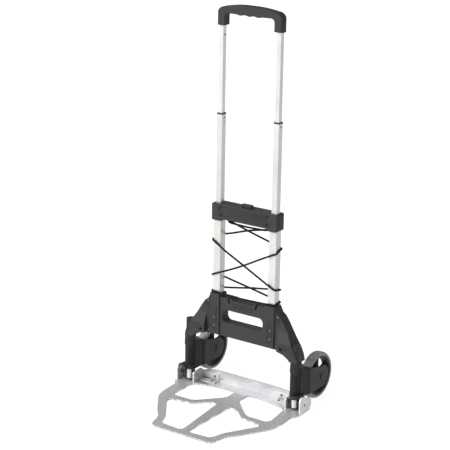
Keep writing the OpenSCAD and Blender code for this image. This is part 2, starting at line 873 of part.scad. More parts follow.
// Side view of the arm: a tapering web that ends in a disc round the axle
module arm_side_2d() {
    dz = wheel_z;
    union() {
        translate([arm_len, dz]) circle(fork_disc_r);
        polygon([[-4, barrel_z], [44, barrel_z + 1], [arm_len - 6, dz - fork_disc_r + 0.5],
                 [arm_len, dz - fork_disc_r], [arm_len + 4, dz], [arm_len + 2, dz + fork_disc_r],
                 [arm_len - 8, dz + fork_disc_r - 0.5], [12, 124], [-4, 126]]);
    }
}

module carrier_body() {
    intersection() {
        translate([0, 0, barrel_z - 20])
            linear_extrude(140) arm_plan_2d();
        side_slab(-cheek_x - 1, cheek_x + 1) arm_side_2d();
    }
    translate([0, 0, barrel_z])
        cylinder(h = barrel_top - barrel_z, r = barrel_r);
    translate([0, 0, barrel_top - 32])
        cylinder(h = 32, r = barrel_collar_r);
    translate([0, 0, barrel_z])
        cylinder(h = 11, r = barrel_collar_r);
}

// The lobe that the toe plate's outer ear drives, on the side away from the truck's middle
module cam_lobe(side) {
    translate([0, 0, barrel_z])
        linear_extrude(11)
            difference() {
                circle(lobe_reach);
                translate([-side * lobe_reach, 0])
                    square([2 * lobe_reach, 3 * lobe_reach], center = true);
                translate([0, lobe_reach])
                    square([3 * lobe_reach, lobe_reach], center = true);
            }
}

module wheel_carrier(side) {
    color(BLACK) leaned()
        translate([side * post_x, hinge_y, 0])
            difference() {
                union() {
                    carrier_body();
                    cam_lobe(side);
                }
                translate([0, 0, barrel_z - eps])
                    cylinder(h = barrel_top - barrel_z + 2 * eps, r = post_r + run_gap);
                translate([0, arm_len, wheel_z]) {
                    rod_x(-fork_half, fork_half, tyre_r + 3);
                    rod_x(-cheek_x - eps, cheek_x + eps, axle_r + 0.05);
                    rod_x(cheek_x - 1.5, cheek_x + eps, 11);
                    rod_x(-cheek_x - eps, -cheek_x + 1.5, 11);
                }
            }
}

// Draws at the wheel's middle, leaned with the frame
module at_wheel(side) {
    leaned()
        translate([side * post_x, wheel_y, wheel_z])
            children();
}

module axle(side) {
    color(STEEL) at_wheel(side) rod_x(-cheek_x + 0.5, cheek_x - 0.5, axle_r);
}

module axle_caps(side) {
    color(DARK) at_wheel(side)
        for (s = [0, 1])
            mirror([s, 0, 0])
                difference() {
                    union() {
                        rod_x(cheek_x - 1.5, cheek_x + 1, 10.6);
                        rod_x(cheek_x + 1, cheek_x + 2, 7);
                    }
                    rod_x(cheek_x - 2, cheek_x - 0.4, axle_r + 0.05);
                }
}

// ---- wheels ----

module rim(side) {
    spokes = 5;
    web = 8;
    color(BLACK) at_wheel(side)
        difference() {
            union() {
                rotate([0, 90, 0])
                    rotate_extrude()
                        polygon([[rim_r - 7, -rim_half + 3], [rim_r - 3, -rim_half], [rim_r, -rim_half],
                                 [rim_r, -7], [rim_r - 2.5, -5], [rim_r - 2.5, 5], [rim_r, 7],
                                 [rim_r, rim_half], [rim_r - 3, rim_half], [rim_r - 7, rim_half - 3]]);
                rod_x(-hub_half, hub_half, hub_r);
                for (i = [0:spokes - 1])
                    rotate([i * 360 / spokes, 0, 0])
                        translate([-web / 2, -7, hub_r - 3])
                            cube([web, 14, rim_r - hub_r - 1]);
            }
            rod_x(-hub_half - eps, hub_half + eps, axle_r + 3);
        }
}

module tyre(side) {
    r0 = rim_r + 0.02;
    h = tyre_w / 2;
    color(GREY) at_wheel(side)
        rotate([0, 90, 0])
            rotate_extrude()
                polygon([[r0, -rim_half], [r0, -6.8], [r0 - 2.4, -4.8], [r0 - 2.4, 4.8], [r0, 6.8], [r0, rim_half],
                         [r0 + 1.5, h - 0.5], [r0 + 4, h], [tyre_r - 3, h - 1.2], [tyre_r - 0.9, h - 4],
                         [tyre_r, h - 8], [tyre_r, -h + 8], [tyre_r - 0.9, -h + 4], [tyre_r - 3, -h + 1.2],
                         [r0 + 4, -h], [r0 + 1.5, -h + 0.5]]);
}

module hub_bushes(side) {
    color(DARK) at_wheel(side)
        for (s = [0, 1])
            mirror([s, 0, 0])
                difference() {
                    rod_x(hub_half - 12, hub_half, axle_r + 2.95);
                    rod_x(hub_half - 13, hub_half + 1, axle_bore);
                }
}

// ---- middle handle stage ----

module mid_tube(side) {
    color(ALLOY) leaned()
        difference() {
            square_tube(side * tube_x, mid_w, mid_wall, mid_bottom, mid_top - 1.5);
            translate([side * tube_x, 0, snap_z])
                rod_x(0, mid_w, snap_r + 0.2);
            translate([side * tube_x, 0, snap_z - 12])
                mirror([side > 0 ? 1 : 0, 0, 0])
                    rod_x(0, mid_w, vent_r);
        }
}

module mid_cap(side) {
    color(BLACK) leaned()
        difference() {
            square_bar(side * tube_x, cap_w, tube_round + cap_wall, mid_top - cap_h, mid_top);
            square_bar(side * tube_x, mid_w, tube_round, mid_top - cap_h - eps, mid_top - 1.5);
            square_bar(side * tube_x, inner_w + 2 * slide_gap, 1, mid_top - 2, mid_top + eps);
        }
}

module mid_block(side) {
    color(BLACK) leaned()
        union() {
            square_bar(side * tube_x, outer_in - 2 * slide_gap, 0.5, mid_bottom - block_h, mid_bottom);
            square_bar(side * tube_x, mid_in, 0.3, mid_bottom, mid_bottom + block_stem);
        }
}

// Small catch button in the side of each middle tube, nearly flush so that it passes the guide bush
module snap_button(side) {
    face = mid_w / 2;
    color(BLACK) leaned()
        translate([side * tube_x, 0, snap_z])
            rod_x(inner_w / 2 + snap_travel + 0.1, face + 0.1, snap_r);
}

// ---- inner handle stage and grip ----

module inner_tube(side) {
    color(ALLOY) leaned()
        difference() {
            square_tube(side * tube_x, inner_w, inner_wall, inner_bottom, inner_top);
            translate([side * (tube_x - inner_w / 2), 0, grip_z - 26])
                rod_x(-inner_wall - eps, inner_wall + eps, 2.8);
        }
}

module inner_plug(side) {
    color(BLACK) leaned()
        union() {
            square_bar(side * tube_x, mid_in - 2 * slide_gap, 0.5, inner_bottom - 6, inner_bottom);
            square_bar(side * tube_x, inner_w - 2 * inner_wall, 0.3, inner_bottom, inner_bottom + plug_h);
        }
}

// Front view of the grip: a bar with finger lobes underneath, on two legs
module grip_2d() {
    a = tube_x + grip_leg_w / 2;
    b = tube_x - grip_leg_w / 2;
    z1 = grip_bar_z + grip_bar_h;
    r = 26;
    flat = a - r;
    corner = [for (t = [0:15:75]) [flat + r * cos(t), z1 - grip_crown - r + r * sin(t)]];
    crown = [for (i = [8:-1:0]) [flat * i / 8, z1 - grip_crown * i * i / 64]];
    top_half = concat([[a, grip_z]], corner, crown);
    left_half = [for (i = [len(top_half) - 2:-1:0]) [-top_half[i][0], top_half[i][1]]];
    lobes = 1.5 * groove_pitch;
    under = [
        for (i = [-18:18])
            let (x = i * lobes / 18)
            [x, grip_bar_z - groove_depth * (0.5 + 0.5 * cos(360 * x / groove_pitch))]
    ];
    left_leg = [[-b, grip_z], [-b, grip_bar_z - 9], [-b + 3, grip_bar_z - 2], [-b + 10, grip_bar_z + 0.5]];
    right_leg = [[b - 10, grip_bar_z + 0.5], [b - 3, grip_bar_z - 2], [b, grip_bar_z - 9], [b, grip_z]];
    polygon(concat(top_half, left_half, left_leg, under, right_leg));
}

// The front view crossed with the side and plan views, which round its edges
module grip_body() {
    a = tube_x + grip_leg_w / 2;
    z1 = grip_bar_z + grip_bar_h;
    difference() {
        intersection() {
            front_slab(-half_grip - 1, half_grip + 1) grip_2d();
            side_slab(-a - 1, a + 1)
                translate([0, (grip_z - 8 + z1) / 2])
                    rounded_rect(grip_d, z1 - grip_z + 8, 9);
            translate([0, 0, grip_z - 1])
                linear_extrude(z1 - grip_z + 2)
                    rounded_rect(2 * a, grip_d, 8);
        }
        for (side = [-1, 1])
            square_bar(side * tube_x, pocket_w, 1, grip_z - eps, inner_top + 0.5);
        for (p = grip_screw_spots)
            translate([p[0], 0, p[1]])
                rod_y(p[2], 2 * half_grip, 1.6);
    }
}

grip_screw_spots = [
    for (side = [-1, 1]) [side * (tube_x - 34), grip_bar_z + grip_bar_h / 2, -half_grip + 4],
    for (side = [-1, 1]) [side * tube_x, grip_z + 12, pocket_w / 2 - 1]
];

module grip_shell(front) {
    difference() {
        grip_body();
        translate([0, front ? 50 : -50, grip_bar_z])
            cube([4 * tube_x, 100, 4 * grip_bar_h + 4 * grip_leg_h], center = true);
        if (!front)
            for (p = grip_screw_spots)
                translate([p[0], 0, p[1]])
                    rod_y(half_grip - 1.4, 2 * half_grip, 3.4);
    }
}

module grip_front_shell() {
    color(BLACK) leaned() grip_shell(true);
}

module grip_rear_shell() {
    color(BLACK) leaned() grip_shell(false);
}

module grip_screws() {
    color(STEEL) leaned()
        for (p = grip_screw_spots)
            translate([p[0], 0, p[1]])
                union() {
                    rod_y(p[2] + 1.3, half_grip - 0.6, 1.55);
                    rod_y(half_grip - 1.4, half_grip + 0.2, 3.2);
                }
}

// ---- the nodes ----

outer_tube(-1);  // outer_tube_left
outer_tube(1);  // outer_tube_right
guide_bush(-1);  // guide_bush_left
guide_bush(1);  // guide_bush_right
crossbar_front_shell();
crossbar_rear_shell();
crossbar_screw_set();  // crossbar_screws
release_button();
button_spring();
lock_bolt(-1);  // lock_bolt_left
lock_bolt(1);  // lock_bolt_right
housing_front_shell();
housing_rear_shell();
housing_screw_set();  // housing_screws
lower_post(-1);  // lower_post_left
lower_post(1);  // lower_post_right
foot_cap(-1);  // foot_cap_left
foot_cap(1);  // foot_cap_right
foot_liner(-1);  // foot_liner_left
foot_liner(1);  // foot_liner_right
hinge_pin(-1);  // hinge_pin_left
hinge_pin(1);  // hinge_pin_right
hinge_spacers();
post_rings();
elastic_cord();
toe_plate();
hinge_bracket(-1);  // hinge_bracket_left
hinge_bracket(1);  // hinge_bracket_right
plate_rivets();
wheel_carrier(-1);  // wheel_carrier_left
wheel_carrier(1);  // wheel_carrier_right
axle(-1);  // axle_left
axle(1);  // axle_right
axle_caps(-1);  // axle_caps_left
axle_caps(1);  // axle_caps_right
rim(-1);  // rim_left
rim(1);  // rim_right
tyre(-1);  // tyre_left
tyre(1);  // tyre_right
hub_bushes(-1);  // hub_bushes_left
hub_bushes(1);  // hub_bushes_right
mid_tube(-1);  // mid_tube_left
mid_tube(1);  // mid_tube_right
mid_cap(-1);  // mid_cap_left
mid_cap(1);  // mid_cap_right
mid_block(-1);  // mid_block_left
mid_block(1);  // mid_block_right
snap_button(-1);  // snap_button_left
snap_button(1);  // snap_button_right
inner_tube(-1);  // inner_tube_left
inner_tube(1);  // inner_tube_right
inner_plug(-1);  // inner_plug_left
inner_plug(1);  // inner_plug_right
grip_front_shell();
grip_rear_shell();
grip_screws();
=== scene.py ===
"""Looks of a folding telescopic hand truck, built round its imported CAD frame."""

import json
import math

import bmesh
import bpy
from mathutils import Matrix, Vector


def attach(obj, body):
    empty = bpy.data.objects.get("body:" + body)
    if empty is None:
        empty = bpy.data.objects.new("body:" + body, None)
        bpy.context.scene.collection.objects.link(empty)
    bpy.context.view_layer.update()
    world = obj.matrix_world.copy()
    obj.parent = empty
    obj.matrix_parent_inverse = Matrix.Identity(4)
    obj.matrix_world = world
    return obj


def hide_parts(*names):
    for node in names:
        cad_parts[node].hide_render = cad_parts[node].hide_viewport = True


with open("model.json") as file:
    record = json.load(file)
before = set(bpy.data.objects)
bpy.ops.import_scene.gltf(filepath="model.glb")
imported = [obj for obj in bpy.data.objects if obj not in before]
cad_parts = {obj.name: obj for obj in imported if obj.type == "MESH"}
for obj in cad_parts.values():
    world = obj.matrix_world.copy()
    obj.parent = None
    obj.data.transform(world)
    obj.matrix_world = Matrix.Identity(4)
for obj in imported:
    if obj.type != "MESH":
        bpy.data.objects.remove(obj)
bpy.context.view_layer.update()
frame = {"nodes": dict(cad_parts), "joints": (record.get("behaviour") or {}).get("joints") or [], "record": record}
MM = 0.001
JOINTS = {j["name"]: j for j in frame["joints"]}
HINGE = Vector(JOINTS["toe_plate_fold"]["pos_m"])
UP = Vector(JOINTS["mid_stage_slide"]["axis"])
LEAN = math.atan2(UP.y, UP.z)
# The frame's pieces are described upright, in millimetres, and then leaned back about the hinge
LEANED = (
    Matrix.Translation(HINGE)
    @ Matrix.Rotation(-LEAN, 4, "X")
    @ Matrix.Translation(-HINGE)
    @ Matrix.Scale(MM, 4)
)
UPRIGHT = LEANED.inverted()
# Behind this, in metres, the plate is smooth and bright
REAR_STRIP_Y = -0.020


def upright_box(node):
    """Lowest and highest corner of a node's mesh in the upright frame, in millimetres."""
    points = [UPRIGHT @ v.co for v in frame["nodes"][node].data.vertices]
    low = Vector([min(p[i] for p in points) for i in range(3)])
    high = Vector([max(p[i] for p in points) for i in range(3)])
    return low, high


# ---- camera, light and floor ----

AIM = Vector((-0.0546, 0.0, 0.4995))
AZIMUTH, ELEVATION, ROLL = 35.3, 19.67, -1.1
DISTANCE = 4.314
LENS = 124.9
SENSOR_WIDTH = 36

SKY_STRENGTH = 0.45
KEY_TOWARD = (-0.48, -0.68, 0.55)
KEY_STRENGTH = 4.0
KEY_SPREAD = 60
# The floor glows a little, so that shadows on it stay faint
FLOOR_REACH = 60.0
FLOOR_DROP = 0.0005
FLOOR_GREY = 0.16
FLOOR_GLOW = 0.92


def add_camera():
    az, el, roll = (math.radians(a) for a in (AZIMUTH, ELEVATION, ROLL))
    back = Vector((math.sin(az) * math.cos(el), -math.cos(az) * math.cos(el), math.sin(el)))
    right = Vector((math.cos(az), math.sin(az), 0))
    up = back.cross(right)
    x_axis = right * math.cos(roll) + up * math.sin(roll)
    y_axis = up * math.cos(roll) - right * math.sin(roll)
    turn = Matrix((x_axis, y_axis, back)).transposed().to_4x4()
    data = bpy.data.cameras.new("camera")
    data.lens = LENS
    data.sensor_width = SENSOR_WIDTH
    camera = bpy.data.objects.new("camera", data)
    bpy.context.scene.collection.objects.link(camera)
    camera.matrix_world = Matrix.Translation(AIM + back * DISTANCE) @ turn
    bpy.context.scene.camera = camera


def add_sun(name, toward, power, spread):
    data = bpy.data.lights.new(name, "SUN")
    data.energy = power
    data.angle = math.radians(spread)
    light = bpy.data.objects.new(name, data)
    bpy.context.scene.collection.objects.link(light)
    light.matrix_world = Vector(toward).normalized().to_track_quat("Z", "Y").to_matrix().to_4x4()


def add_studio():
    world = bpy.data.worlds.new("studio")
    bpy.context.scene.world = world
    world.use_nodes = True
    sky = world.node_tree.nodes["Background"]
    sky.inputs["Color"].default_value = (1.0, 1.0, 1.0, 1.0)
    sky.inputs["Strength"].default_value = SKY_STRENGTH
    bpy.context.scene.view_settings.view_transform = "Standard"
    add_sun("key", KEY_TOWARD, KEY_STRENGTH, KEY_SPREAD)
    floor_mesh = bpy.data.meshes.new("floor")
    reach = FLOOR_REACH
    floor_mesh.from_pydata(
        [(-reach, -reach, 0), (reach, -reach, 0), (reach, reach, 0), (-reach, reach, 0)], [], [(0, 1, 2, 3)]
    )
    floor = bpy.data.objects.new("floor", floor_mesh)
    bpy.context.scene.collection.objects.link(floor)
    floor.location.z = -FLOOR_DROP
    paint = bpy.data.materials.new("floor")
    paint.use_nodes = True
    face = paint.node_tree.nodes["Principled BSDF"]
    face.inputs["Base Color"].default_value = (FLOOR_GREY, FLOOR_GREY, FLOOR_GREY, 1)
    face.inputs["Emission Color"].default_value = (1.0, 1.0, 1.0, 1)
    face.inputs["Emission Strength"].default_value = FLOOR_GLOW
    face.inputs["Roughness"].default_value = 0.7
    floor_mesh.materials.append(paint)


# ---- procedural materials ----


class Shader:
    """A material's node tree with short calls for the nodes that the finishes share."""

    def __init__(self, name):
        self.material = bpy.data.materials.new(name)
        self.material.use_nodes = True
        self.tree = self.material.node_tree
        self.face = self.tree.nodes["Principled BSDF"]
        self.place = self.tree.nodes.new("ShaderNodeTexCoord").outputs["Object"]

    def add(self, kind, values=None, **settings):
        node = self.tree.nodes.new(kind)
        for key, value in settings.items():
            setattr(node, key, value)
        for key, value in (values or {}).items():
            self.feed(node.inputs[key], value)
        return node

    def feed(self, socket, value):
        if isinstance(value, bpy.types.NodeSocket):
            self.tree.links.new(value, socket)
        else:
            socket.default_value = value

    def math(self, operation, a, b=0.0, c=0.0):
        node = self.add("ShaderNodeMath", {0: a, 1: b, 2: c}, operation=operation)
        return node.outputs[0]

    def stretched(self, scale):
        return self.add("ShaderNodeMapping", {"Vector": self.place, "Scale": scale}).outputs["Vector"]

    def noise(self, scale, detail=3.0, vector=None):
        values = {"Vector": vector or self.place, "Scale": scale, "Detail": detail}
        return self.add("ShaderNodeTexNoise", values).outputs["Fac"]

    def cells(self, scale, vector=None):
        values = {"Vector": vector or self.place, "Scale": scale}
        return self.add("ShaderNodeTexVoronoi", values).outputs["Distance"]

    def spread(self, fac, low, high):
        """Turns a value of about 0.3 to 0.7 into low to high."""
        values = {"Value": fac, "From Min": 0.3, "From Max": 0.7, "To Min": low, "To Max": high}
        return self.add("ShaderNodeMapRange", values).outputs["Result"]

    def tint(self, fac, dark, light):
        mix = self.add("ShaderNodeMix", data_type="RGBA")
        self.feed(mix.inputs[0], fac)
        mix.inputs[6].default_value = (*dark, 1)
        mix.inputs[7].default_value = (*light, 1)
        return mix.outputs[2]

    def relief(self, height, strength, depth, edge=0.0006):
        soft = self.add("ShaderNodeBevel", {"Radius": edge}, samples=4).outputs["Normal"]
        values = {"Height": height, "Strength": strength, "Distance": depth, "Normal": soft}
        self.feed(self.face.inputs["Normal"], self.add("ShaderNodeBump", values).outputs["Normal"])

    def finish(self, color, roughness, metallic=0.0, specular=0.5):
        self.feed(self.face.inputs["Base Color"], color)
        self.feed(self.face.inputs["Roughness"], roughness)
        self.face.inputs["Metallic"].default_value = metallic
        self.face.inputs["Specular IOR Level"].default_value = specular
        return self.material


def worn_edges(s):
    """Near 1 where the surface bends, 0 on flat stretches."""
    point = s.add("ShaderNodeNewGeometry").outputs["Pointiness"]
    values = {"Value": point, "From Min": 0.5, "From Max": 0.58, "To Min": 0.0, "To Max": 1.0}
    return s.add("ShaderNodeMapRange", values).outputs["Result"]


def alloy(name, dark, light, rough=0.34, drawn=(60.0, 60.0, 2.0)):
    """Satin aluminium drawn along one direction."""
    s = Shader(name)
    streaks = s.noise(40.0, 4.0, s.stretched(drawn))
    smudges = s.noise(14.0)
    color = s.tint(s.spread(smudges, 0.0, 1.0), dark, light)
    s.relief(streaks, 0.12, 0.0002, 0.0005)
    return s.finish(color, s.spread(smudges, rough - 0.05, rough + 0.07), 0.5)


def moulded(name, color, rough=0.55, grain=2600.0, strength=0.35, edge=0.0009):
    """Moulded plastic with a pebble grain and slightly rubbed edges."""
    s = Shader(name)
    pebbles = s.cells(grain)
    cloud = s.noise(22.0)
    base = s.tint(s.spread(cloud, 0.0, 1.0), [c * 0.85 for c in color], [c * 1.2 for c in color])
    rubbed = s.add("ShaderNodeMix", data_type="RGBA")
    s.feed(rubbed.inputs[0], s.math("MULTIPLY", worn_edges(s), 0.35))
    s.feed(rubbed.inputs[6], base)
    rubbed.inputs[7].default_value = (0.07, 0.07, 0.072, 1)
    s.relief(pebbles, strength, 0.0003, edge)
    return s.finish(rubbed.outputs[2], s.spread(cloud, rough - 0.06, rough + 0.08), 0.0, 0.15)


def embossed_plate(name):
    """Cast plate: a fine diamond emboss on its deck, with painted shade in its hollows and painted highlight on its
    crests, bright and smooth at the rear strip and upstand.
    """
    s = Shader(name)
    parts = s.add("ShaderNodeSeparateXYZ", {"Vector": s.place}).outputs
    pitch = 900.0
    one = s.math("SINE", s.math("MULTIPLY", s.math("ADD", parts["X"], parts["Y"]), pitch))
    two = s.math("SINE", s.math("MULTIPLY", s.math("SUBTRACT", parts["X"], parts["Y"]), pitch))
    diamonds = s.math("MULTIPLY", one, two)
    fine = s.noise(900.0, 2.0)
    cloud = s.noise(18.0)
    smooth = s.math("GREATER_THAN", parts["Y"], REAR_STRIP_Y)
    # The deck's colour follows the diamond emboss: painted shade in its hollows and painted highlight on its crests,
    # with random tone from the fine noise.
    grain = s.math("ADD", s.math("MULTIPLY", diamonds, 0.5), s.spread(fine, 0.0, 1.0))
    deck = s.tint(grain, (0.22, 0.22, 0.225), (0.92, 0.92, 0.93))
    bright = s.tint(s.spread(cloud, 0.0, 1.0), (0.40, 0.40, 0.41), (0.50, 0.50, 0.51))
    mix = s.add("ShaderNodeMix", data_type="RGBA")
    for socket, value in zip((mix.inputs[0], mix.inputs[6], mix.inputs[7]), (smooth, deck, bright)):
        s.feed(socket, value)
    rough_deck = s.math("SUBTRACT", 1.0, smooth)
    s.relief(s.math("MULTIPLY", grain, rough_deck), 0.35, 0.0003, 0.0012)
    return s.finish(mix.outputs[2], s.math("MULTIPLY_ADD", rough_deck, 0.22, 0.3), 0.7)


# Radius in metres beyond which the tyre carries its tread
TREAD_INNER_RADIUS = 0.0640


def tyre_rubber(name):
    """Light grey tyre with a moulded tread across its crown."""
    s = Shader(name)
    centre = Vector(JOINTS["wheel_left_spin"]["pos_m"])
    parts = s.add("ShaderNodeSeparateXYZ", {"Vector": s.place}).outputs
    dy = s.math("SUBTRACT", parts["Y"], centre.y)
    dz = s.math("SUBTRACT", parts["Z"], centre.z)
    angle = s.math("ARCTAN2", dz, dy)
    sideways = s.math("MULTIPLY", s.math("ABSOLUTE", s.math("SUBTRACT", s.math("ABSOLUTE", parts["X"]),
                                                            abs(centre.x))), 260.0)
    bars = s.math("SINE", s.math("MULTIPLY_ADD", angle, 60.0, sideways))
    radius = s.math("SQRT", s.math("ADD", s.math("MULTIPLY", dy, dy), s.math("MULTIPLY", dz, dz)))
    crown = s.math("GREATER_THAN", radius, TREAD_INNER_RADIUS)
    cut = s.math("MULTIPLY", s.math("GREATER_THAN", bars, 0.3), crown)
    dust = s.noise(60.0)
    color = s.tint(s.spread(dust, 0.0, 1.0), (0.20, 0.20, 0.19), (0.31, 0.31, 0.30))
    s.relief(s.math("MULTIPLY_ADD", dust, 0.2, cut), 0.5, 0.0008, 0.0012)
    return s.finish(color, s.spread(dust, 0.6, 0.8), 0.0, 0.3)


def braid(name):
    """Braided sleeve of the elastic cord: two sets of threads crossing at a slant."""
    s = Shader(name)
    uv = s.tree.nodes.new("ShaderNodeTexCoord").outputs["UV"]
    parts = s.add("ShaderNodeSeparateXYZ", {"Vector": uv}).outputs
    around = s.math("MULTIPLY", parts["X"], 6 * math.tau)
    along = s.math("MULTIPLY", parts["Y"], math.tau)
    one = s.math("SINE", s.math("ADD", around, along))
    two = s.math("SINE", s.math("SUBTRACT", around, along))
    threads = s.math("MULTIPLY", one, two)
    color = s.tint(s.math("MULTIPLY_ADD", threads, 0.5, 0.5), (0.006, 0.006, 0.007), (0.02, 0.02, 0.021))
    s.relief(threads, 0.6, 0.0005, 0.0001)
    return s.finish(color, 0.9, 0.0, 0.1)


def steel(name, tone=0.45, rough=0.32):
    s = Shader(name)
    rings = s.noise(500.0, 2.0)
    color = s.tint(s.spread(rings, 0.0, 1.0), (tone * 0.85,) * 3, (tone * 1.1,) * 3)
    s.relief(rings, 0.1, 0.0001, 0.0004)
    return s.finish(color, s.spread(rings, rough - 0.05, rough + 0.1), 1.0)


FINISHES = {
    "tube_alloy": alloy("tube_alloy", (0.49, 0.485, 0.47), (0.57, 0.565, 0.55), 0.36),
    "foot_alloy": alloy("foot_alloy", (0.56, 0.56, 0.56), (0.64, 0.64, 0.64), 0.28),
    "bracket_alloy": alloy("bracket_alloy", (0.50, 0.50, 0.51), (0.60, 0.60, 0.61), 0.42, (8.0, 60.0, 60.0)),
    "plate_alloy": embossed_plate("plate_alloy"),
    "black_plastic": moulded("black_plastic", (0.012, 0.012, 0.0125), 0.52),
    "crossbar_plastic": moulded("crossbar_plastic", (0.0125, 0.0125, 0.013), 0.5),
    "grip_plastic": moulded("grip_plastic", (0.0135, 0.0135, 0.014), 0.62, 3200.0, 0.25, 0.0015),
    "carrier_plastic": moulded("carrier_plastic", (0.013, 0.013, 0.0135), 0.5, 2200.0, 0.3),
    "dark_plastic": moulded("dark_plastic", (0.022, 0.022, 0.023), 0.42, 3800.0, 0.12),
    "rim_plastic": moulded("rim_plastic", (0.014, 0.014, 0.015), 0.45, 3000.0, 0.15),
    "screw_steel": steel("screw_steel", 0.16, 0.4),
    "screw_black": steel("screw_black", 0.02, 0.5),
    "pin_steel": steel("pin_steel"),
    "tyre_rubber": tyre_rubber("tyre_rubber"),
    "elastic": braid("elastic"),
}


def dress_nodes():
    slots = {part["node"]: part["material_slot"] for part in frame["record"]["subparts"]}
    for name, piece in frame["nodes"].items():
        piece.data.materials.clear()
        piece.data.materials.append(FINISHES[slots[name]])


# ---- pieces ----


def finish_piece(piece, body, slot, replaced=()):
    """Gives a new piece its finish and body; its mesh is in metres, in the shared frame."""
    piece.data.materials.clear()
    piece.data.materials.append(FINISHES[slot])
    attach(piece, body)
    if replaced:
        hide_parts(*replaced)


def new_piece(name, mesh_builder, lean=True):
    """A mesh object drawn by mesh_builder(bm) in millimetres."""
    bm = bmesh.new()
    mesh_builder(bm)
    bm.transform(LEANED if lean else Matrix.Scale(MM, 4))
    bmesh.ops.recalc_face_normals(bm, faces=bm.faces)
    mesh = bpy.data.meshes.new(name)
    bm.to_mesh(mesh)
    bm.free()
    piece = bpy.data.objects.new(name, mesh)
    bpy.context.scene.collection.objects.link(piece)
    return piece


def block(bm, low, high):
    """An axis-aligned box between two corners."""
    low, high = Vector(low), Vector(high)
    middle = (low + high) / 2
    size = high - low
    bmesh.ops.create_cube(bm, size=1.0, matrix=Matrix.Translation(middle) @ Matrix.Diagonal((*size, 1)))


def drum(bm, centre, axis, radius, length, sides=24):
    """A round bar of that radius and length centred on a point."""
    turn = Vector(axis).to_track_quat("Z", "Y").to_matrix().to_4x4()
    place = Matrix.Translation(centre) @ turn
    bmesh.ops.create_cone(
        bm, cap_ends=True, segments=sides, radius1=radius, radius2=radius, depth=length, matrix=place
    )


# The elastic cord's route, upright, in millimetres
CORD_ROUTE = [
    (-72, 13, 516), (-72, 13, 503.5), (-70, 13.4, 500), (-62, 14.4, 496.8), (-8, 15, 481), (60, 15, 464),
    (98, 15, 454), (104, 14.8, 452), (107, 12, 451), (107.4, 0, 448), (107, -12, 443), (104, -14.8, 441),
    (98, -15, 439), (60, -16, 420), (20, -19.8, 399), (0, -21, 389), (-20, -19.8, 379), (-60, -16, 361),
    (-98, -15, 345), (-104, -14.8, 342), (-107, -12, 341), (-107.4, 0, 339), (-107, 12, 337),
    (-104, 14.8, 336), (-98, 15, 334), (-60, 15, 327), (8, 15, 315), (60, 15, 305), (98, 15, 298),
    (104, 14.8, 297), (107, 12, 296.5), (107.4, 0, 295), (107, -12, 293.5), (104, -14.8, 293),
    (98, -15, 293.2), (60, -15.5, 291.6), (0, -16, 290), (-60, -15.5, 291.6), (-98, -15, 293.2),
    (-104, -14.8, 293), (-107, -12, 293.5), (-107.4, 0, 294), (-107, 12, 295), (-104, 14.8, 296),
    (-98, 15, 297), (-60, 16.5, 303), (-12, 20, 311), (8, 20.8, 315), (28, 20, 318), (60, 16.5, 324),
    (98, 15, 331), (104, 14.8, 332), (107, 12, 333), (107.4, 0, 335), (107, -12, 337),
    (104, -14.8, 338), (98, -15, 340), (60, -15, 359), (0, -15, 389), (-60, -15, 418), (-98, -15, 440),
    (-104, -14.8, 443), (-107, -12, 445), (-107.4, 0, 448), (-107, 12, 451), (-104, 14.8, 452),
    (-98, 15, 454), (-60, 17, 464), (-28, 20, 474), (-8, 20.8, 480), (12, 20, 485), (50, 16, 494),
    (64, 14.2, 497.4), (70, 13.4, 500), (72, 13, 503.5), (72, 13, 516),
]
CORD_TOP_RUN = [
    (-67, 4, 516), (-67, 4, 503.5), (-64, 4, 499), (-56, 4, 496.6), (0, 4, 495), (56, 4, 496.6),
    (64, 4, 499), (67, 4, 503.5), (67, 4, 516),
]
CORD_RADIUS = 2.7
CORD_SIDES = 12
# Length of one repeat of the braid
BRAID_PITCH = 5.0


def densified(route, step=6.0):
    """The route with points added so that none are further apart than step."""
    out = [Vector(route[0])]
    for a, b in zip(route, route[1:]):
        a, b = Vector(a), Vector(b)
        count = max(1, math.ceil((b - a).length / step))
        out += [a.lerp(b, i / count) for i in range(1, count + 1)]
    return out


def sweep_cord(bm, route):
    points = densified(route)
    layer = bm.loops.layers.uv.verify()
    travelled = 0.0
    previous = None
    for i, point in enumerate(points):
        heading = (points[min(i + 1, len(points) - 1)] - points[max(i - 1, 0)]).normalized()
        side = heading.cross(Vector((1, 0, 0)) if abs(heading.z) > 0.8 else Vector((0, 0, 1))).normalized()
        over = side.cross(heading)
        ring = []
        for k in range(CORD_SIDES):
            a = math.tau * k / CORD_SIDES
            ring.append(bm.verts.new(point + CORD_RADIUS * (math.cos(a) * side + math.sin(a) * over)))
        start = travelled
        if previous:
            travelled += (point - points[i - 1]).length / BRAID_PITCH
            for k in range(CORD_SIDES):
                after = (k + 1) % CORD_SIDES
                face = bm.faces.new((previous[k], previous[after], ring[after], ring[k]))
                face.smooth = True
                corners = ((k, start), (k + 1, start), (k + 1, travelled), (k, travelled))
                for loop, (around, along) in zip(face.loops, corners):
                    loop[layer].uv = (around / CORD_SIDES, along)
        previous = ring


def make_cord():
    def draw(bm):
        sweep_cord(bm, CORD_ROUTE)
        sweep_cord(bm, CORD_TOP_RUN)

    cord = new_piece("braided_cord", draw)
    finish_piece(cord, "frame", "elastic", ["elastic_cord"])


